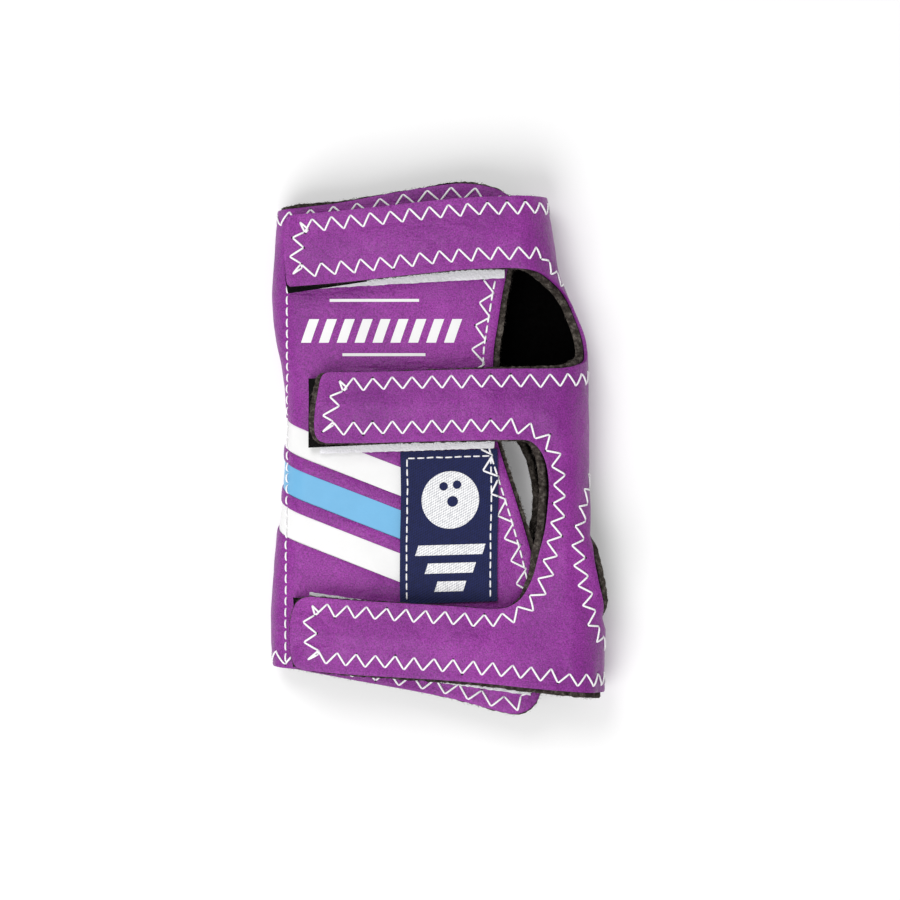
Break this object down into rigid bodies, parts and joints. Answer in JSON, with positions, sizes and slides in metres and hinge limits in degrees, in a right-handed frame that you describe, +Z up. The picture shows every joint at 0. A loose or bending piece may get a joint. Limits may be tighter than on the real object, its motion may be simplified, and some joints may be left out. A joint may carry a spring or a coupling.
{
  "type": "bowling glove",
  "caption": "Right-hand wrist-support glove of leather on felt, rolled into a flat tube with a thumb hole and a palm opening, closed across the back of the hand by hook-and-loop straps.",
  "frame": {"origin": "centre of the bounding box, on the surface that the glove lies on, palm side down", "axes": "+Y along the arm from the hand end to the forearm end, +X across to the thumb side, +Z up out of the back of the hand"},
  "size_m": [0.1058, 0.167, 0.0274],
  "materials": {
    "leather": "purple smooth leather with a soft gloss and fine grain",
    "felt": "black felt, matte and slightly hairy",
    "stripe_white": "white vinyl, smooth",
    "stripe_blue": "light blue vinyl, smooth",
    "label_cloth": "navy woven label",
    "loop_tape": "white loop tape",
    "hook_tape": "black hook tape"
  },
  "bodies": {
    "root": {"leather_shell": "leather", "felt_lining": "felt", "stripe_white_upper": "stripe_white", "stripe_blue": "stripe_blue", "stripe_white_lower": "stripe_white", "woven_label": "label_cloth", "loop_patch_top": "loop_tape", "loop_patch_middle": "loop_tape", "loop_patch_bottom": "loop_tape", "hook_patch_top": "hook_tape", "hook_patch_middle": "hook_tape", "hook_patch_bottom": "hook_tape"}
  },
  "joints": []
}
